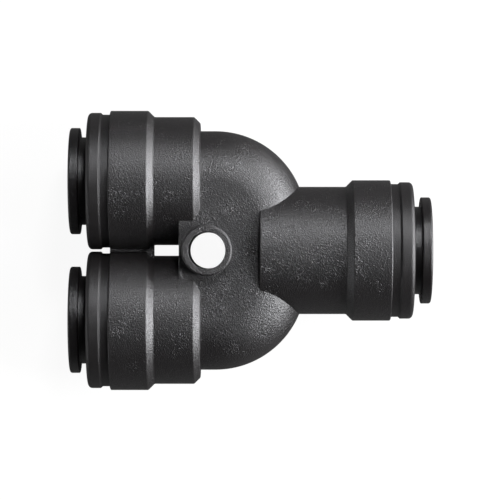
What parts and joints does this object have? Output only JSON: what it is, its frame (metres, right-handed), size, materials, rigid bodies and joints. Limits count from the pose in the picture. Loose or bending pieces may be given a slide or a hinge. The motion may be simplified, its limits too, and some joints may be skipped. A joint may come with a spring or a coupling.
{
  "type": "push-fit tubing y connector",
  "caption": "Y connector for tubing: a stem port and two parallel branch ports, each with an end cap and a sliding release collet, and a fixing boss in the crotch.",
  "frame": {"origin": "centre of the fixing hole, on the mid-plane of the Y", "axes": "+X out of the stem port, +Y towards branch A, +Z out of the plane of the Y and along the fixing hole; lying on its three collars, -Z is down"},
  "size_m": [0.0599, 0.0466, 0.0234],
  "materials": {
    "body_plastic": "black moulded plastic with a fine spark-eroded grain",
    "cap_plastic": "black moulded plastic, slightly smoother than the body",
    "collet_plastic": "black moulded plastic, satin",
    "washer_plastic": "black moulded plastic",
    "seal_rubber": "black nitrile rubber, lightly greased",
    "tooth_steel": "bright stainless steel strip"
  },
  "bodies": {
    "housing": {"body": "body_plastic", "stem_end_cap": "cap_plastic", "stem_spacer_washer": "washer_plastic", "stem_o_ring": "seal_rubber", "branch_a_end_cap": "cap_plastic", "branch_a_spacer_washer": "washer_plastic", "branch_a_o_ring": "seal_rubber", "branch_b_end_cap": "cap_plastic", "branch_b_spacer_washer": "washer_plastic", "branch_b_o_ring": "seal_rubber"},
    "stem_release": {"stem_collet": "collet_plastic", "stem_grip_tooth_1": "tooth_steel", "stem_grip_tooth_2": "tooth_steel", "stem_grip_tooth_3": "tooth_steel", "stem_grip_tooth_4": "tooth_steel", "stem_grip_tooth_5": "tooth_steel", "stem_grip_tooth_6": "tooth_steel"},
    "branch_a_release": {"branch_a_collet": "collet_plastic", "branch_a_grip_tooth_1": "tooth_steel", "branch_a_grip_tooth_2": "tooth_steel", "branch_a_grip_tooth_3": "tooth_steel", "branch_a_grip_tooth_4": "tooth_steel", "branch_a_grip_tooth_5": "tooth_steel", "branch_a_grip_tooth_6": "tooth_steel"},
    "branch_b_release": {"branch_b_collet": "collet_plastic", "branch_b_grip_tooth_1": "tooth_steel", "branch_b_grip_tooth_2": "tooth_steel", "branch_b_grip_tooth_3": "tooth_steel", "branch_b_grip_tooth_4": "tooth_steel", "branch_b_grip_tooth_5": "tooth_steel", "branch_b_grip_tooth_6": "tooth_steel"}
  },
  "joints": [
    {"name": "stem_collet_slide", "type": "slide", "parent": "housing", "child": "stem_release", "axis": [-1, 0, 0], "range_m": [0, 0.0013]},
    {"name": "branch_a_collet_slide", "type": "slide", "parent": "housing", "child": "branch_a_release", "axis": [1, 0, 0], "range_m": [0, 0.0013]},
    {"name": "branch_b_collet_slide", "type": "slide", "parent": "housing", "child": "branch_b_release", "axis": [1, 0, 0], "range_m": [0, 0.0013]}
  ]
}
